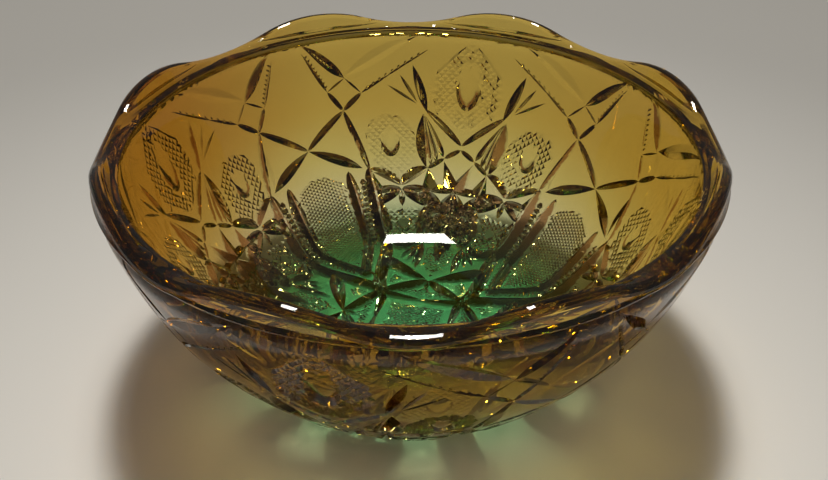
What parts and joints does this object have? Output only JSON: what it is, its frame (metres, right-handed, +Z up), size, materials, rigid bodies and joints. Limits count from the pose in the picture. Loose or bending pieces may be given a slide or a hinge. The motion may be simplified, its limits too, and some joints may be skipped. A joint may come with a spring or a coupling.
{
  "type": "punch bowl",
  "caption": "Heavy pressed-glass punch bowl, amber at the rim and green at the base, with a scalloped rim, smooth inside and deep relief outside.",
  "frame": {"origin": "centre of the flat face that the bowl stands on", "axes": "+Z up along the bowl's axis, -Y towards the viewer, +X to the viewer's right"},
  "size_m": [0.234, 0.234, 0.0974],
  "materials": {
    "amber_glass": "fire-polished clear amber glass",
    "graded_glass": "clear pressed glass, amber at the top grading to green at the bottom",
    "green_glass": "clear emerald green pressed glass"
  },
  "bodies": {
    "root": {"rim": "amber_glass", "collar": "amber_glass", "wall_panel_1": "graded_glass", "wall_panel_2": "graded_glass", "wall_panel_3": "graded_glass", "wall_panel_4": "graded_glass", "base": "green_glass"}
  },
  "joints": []
}
